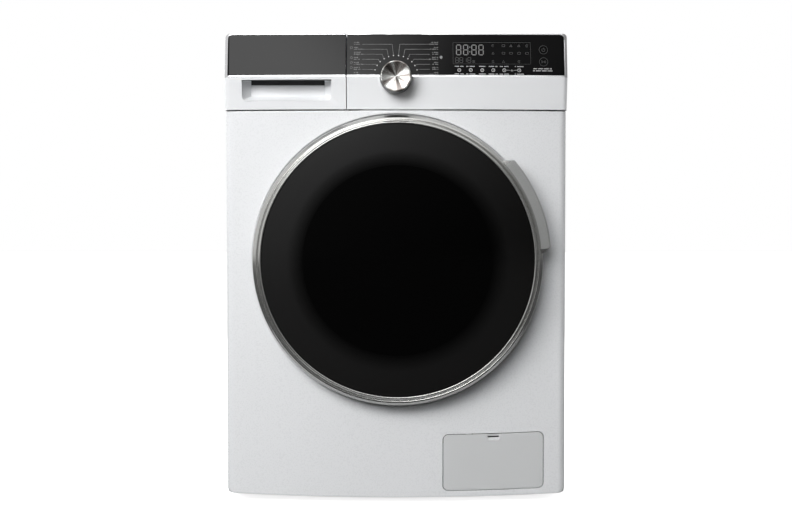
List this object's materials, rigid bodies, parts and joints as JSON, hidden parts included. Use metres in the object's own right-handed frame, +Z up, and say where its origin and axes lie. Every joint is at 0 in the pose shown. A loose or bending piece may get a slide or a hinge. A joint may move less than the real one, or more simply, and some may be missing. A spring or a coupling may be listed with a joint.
{
  "type": "front load washing machine",
  "caption": "Front loading washing machine: bowed white front, round door with dark glass, black control fascia, round selector and a detergent drawer.",
  "frame": {"origin": "middle of the footprint, on the floor", "axes": "+Z up; the front with its door faces -Y; +X is to the right of someone facing the door"},
  "size_m": [0.598, 0.633, 0.822],
  "materials": {
    "white_enamel": "gloss enamel on sheet steel",
    "white_plastic": "smooth satin moulding",
    "black_gloss": "high gloss black",
    "silver_trim": "satin silver paint",
    "knob_black": "satin black",
    "knob_metal": "spun metal",
    "ring_chrome": "gunmetal gloss",
    "dark_glass": "smoked gloss glass",
    "bowl_glass": "clear pressed glass",
    "door_grey": "textured grey moulding",
    "gasket_grey": "matte rubber",
    "hose_black": "matte rubber",
    "hose_grey": "ribbed grey hose",
    "drum_steel": "polished stainless sheet",
    "zinc_steel": "zinc coated sheet",
    "heater_metal": "drawn tube",
    "cast_alloy": "as cast",
    "weight_iron": "rough casting",
    "tub_plastic": "filled polypropylene",
    "lifter_plastic": "satin moulding",
    "tray_plastic": "smooth moulding",
    "blue_plastic": "smooth moulding",
    "dark_plastic": "fine textured moulding",
    "pump_plastic": "smooth moulding",
    "board_green": "lacquered board"
  },
  "bodies": {
    "cabinet": {"side_panel_left": "white_enamel", "side_panel_right": "white_enamel", "rear_panel": "zinc_steel", "rear_access_cover": "zinc_steel", "worktop": "white_plastic", "base_tray": "zinc_steel", "top_rails": "zinc_steel", "front_panel": "white_enamel", "control_panel": "white_plastic", "fascia_bezel": "silver_trim", "control_fascia": "black_gloss", "control_board": "board_green", "dispenser_housing": "tray_plastic", "inlet_valve": "blue_plastic", "inlet_hose": "hose_grey", "fill_hose": "hose_black", "cord_gland": "dark_plastic", "rear_screws": "zinc_steel", "door_hinge_bracket": "zinc_steel", "door_lock": "dark_plastic", "door_gasket": "gasket_grey", "drain_pump": "pump_plastic", "sump_hose": "hose_black", "drain_hose": "hose_grey", "drain_outlet": "dark_plastic", "damper_cylinders": "dark_plastic", "suspension_springs": "zinc_steel"},
    "tub": {"tub_front_shell": "tub_plastic", "tub_rear_shell": "tub_plastic", "front_counterweights": "weight_iron", "drum_bearings": "zinc_steel", "motor_housing": "cast_alloy", "heater_element": "heater_metal", "drive_belt": "hose_black", "damper_rods": "zinc_steel"},
    "drum": {"drum_wrapper": "drum_steel", "drum_front_ring": "drum_steel", "drum_rear_wall": "drum_steel", "drum_spider": "cast_alloy", "drum_lifters": "lifter_plastic", "drum_pulley": "cast_alloy"},
    "motor_rotor": {"motor_pulley": "zinc_steel"},
    "door": {"door_ring": "ring_chrome", "door_glass": "dark_glass", "door_inner_frame": "door_grey", "door_glass_bowl": "bowl_glass", "door_hinge_leaf": "zinc_steel"},
    "door_latch": {"latch_hook": "dark_plastic"},
    "detergent_drawer": {"drawer_front": "white_plastic", "drawer_fascia": "black_gloss", "drawer_tray": "tray_plastic", "siphon_cap": "blue_plastic"},
    "program_knob": {"knob_skirt": "knob_black", "knob_face": "knob_metal"},
    "access_flap": {"filter_flap": "white_plastic"},
    "pump_filter": {"filter_cap": "dark_plastic"},
    "left_front_leveller": {"foot_front_left": "dark_plastic"},
    "right_front_leveller": {"foot_front_right": "dark_plastic"},
    "left_rear_leveller": {"foot_rear_left": "dark_plastic"},
    "right_rear_leveller": {"foot_rear_right": "dark_plastic"}
  },
  "joints": [
    {"name": "door_hinge", "type": "hinge", "parent": "cabinet", "child": "door", "pos_m": [-0.238, -0.2865, 0.4265], "axis": [0, 0, -1], "range_deg": [0, 140]},
    {"name": "latch_pivot", "type": "hinge", "parent": "door", "child": "door_latch", "pos_m": [0.18844, -0.2785, 0.50142], "axis": [0, 0, -1], "range_deg": [0, 12], "stiffness_Nm_per_rad": 0.2},
    {"name": "drawer_slide", "type": "slide", "parent": "cabinet", "child": "detergent_drawer", "axis": [0, -1, 0], "range_m": [0, 0.26]},
    {"name": "selector_turn", "type": "hinge", "parent": "cabinet", "child": "program_knob", "pos_m": [0, -0.2865, 0.7415], "axis": [0, -1, 0], "continuous": true},
    {"name": "tub_bounce", "type": "slide", "parent": "cabinet", "child": "tub", "axis": [0, 0, 1], "range_m": [-0.01, 0.01], "stiffness_N_per_m": 12000, "springref_m": 0.03088, "deforming": ["suspension_springs", "door_gasket", "sump_hose", "fill_hose"]},
    {"name": "drum_spin", "type": "hinge", "parent": "tub", "child": "drum", "pos_m": [0.003, 0.0435, 0.4265], "axis": [0, -1, 0], "continuous": true},
    {"name": "motor_spin", "type": "hinge", "parent": "tub", "child": "motor_rotor", "pos_m": [-0.057, 0.1935, 0.095], "axis": [0, -1, 0], "continuous": true},
    {"name": "filter_flap_hinge", "type": "hinge", "parent": "cabinet", "child": "access_flap", "pos_m": [0.171, -0.25982, 0.03399], "axis": [0.9987, 0.046, 0.023], "range_deg": [0, 90]},
    {"name": "pump_filter_turn", "type": "hinge", "parent": "cabinet", "child": "pump_filter", "pos_m": [0.171, -0.2365, 0.072], "axis": [0, -1, 0], "range_deg": [0, 180]},
    {"name": "left_front_foot_height", "type": "slide", "parent": "cabinet", "child": "left_front_leveller", "axis": [0, 0, -1], "range_m": [0, 0.012]},
    {"name": "right_front_foot_height", "type": "slide", "parent": "cabinet", "child": "right_front_leveller", "axis": [0, 0, -1], "range_m": [0, 0.012]},
    {"name": "left_rear_foot_height", "type": "slide", "parent": "cabinet", "child": "left_rear_leveller", "axis": [0, 0, -1], "range_m": [0, 0.012]},
    {"name": "right_rear_foot_height", "type": "slide", "parent": "cabinet", "child": "right_rear_leveller", "axis": [0, 0, -1], "range_m": [0, 0.012]}
  ],
  "couplings": [
    {"joint": "motor_spin", "follows": "drum_spin", "ratio": 13.333}
  ]
}
